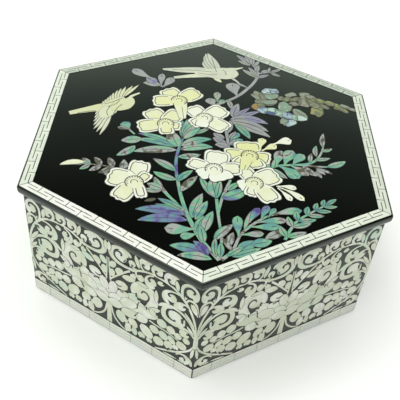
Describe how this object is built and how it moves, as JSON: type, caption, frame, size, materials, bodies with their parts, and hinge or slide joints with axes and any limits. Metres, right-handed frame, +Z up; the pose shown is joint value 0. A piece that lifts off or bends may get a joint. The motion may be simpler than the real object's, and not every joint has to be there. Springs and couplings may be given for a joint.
{
  "type": "hexagonal shell-inlaid lacquer box",
  "caption": "Low hexagonal black lacquer box with a lift-off lid, inlaid with shell: flowers and birds on the lid, a fret border, scrollwork on the sides and a plain shell band at the foot.",
  "frame": {"origin": "middle of the underside, on the surface that the box stands on", "axes": "+Z up, +Y towards the back corner, +X towards the middle of the right-hand side; one corner of the hexagon points to the front (-Y)"},
  "size_m": [0.2106, 0.2428, 0.0872],
  "materials": {
    "lacquer": "polished black lacquer over wood",
    "border_shell": "polished white shell under clear lacquer",
    "band_shell": "polished pale grey shell",
    "scroll_shell": "polished grey-green shell",
    "blossom_shell": "polished cream shell with engraved lines",
    "bird_shell": "polished cream shell with engraved feathers",
    "leaf_shell": "polished abalone, teal and green with violet and pink",
    "grey_shell": "polished grey and violet abalone",
    "rock_shell": "polished dark abalone, blue and grey"
  },
  "bodies": {
    "root": {"body": "lacquer", "lid": "lacquer", "lid_border_1": "border_shell", "lid_border_2": "border_shell", "lid_border_3": "border_shell", "lid_border_4": "border_shell", "lid_border_5": "border_shell", "lid_border_6": "border_shell", "base_band_1": "band_shell", "base_band_2": "band_shell", "base_band_3": "band_shell", "base_band_4": "band_shell", "base_band_5": "band_shell", "base_band_6": "band_shell", "side_scroll_1": "scroll_shell", "side_scroll_2": "scroll_shell", "side_scroll_3": "scroll_shell", "side_scroll_4": "scroll_shell", "side_scroll_5": "scroll_shell", "side_scroll_6": "scroll_shell", "blossom_1": "blossom_shell", "blossom_2": "blossom_shell", "blossom_3": "blossom_shell", "blossom_4": "blossom_shell", "blossom_5": "blossom_shell", "blossom_6": "blossom_shell", "blossom_7": "blossom_shell", "bird_1": "bird_shell", "bird_2": "bird_shell", "rock": "rock_shell", "main_spray": "leaf_shell", "left_spray": "leaf_shell", "middle_spray": "leaf_shell", "low_right_spray": "leaf_shell", "right_spray": "leaf_shell", "far_right_spray": "leaf_shell", "left_sprig": "leaf_shell", "back_branch": "grey_shell", "back_sprig": "grey_shell", "sword_leaves": "grey_shell"}
  },
  "joints": []
}
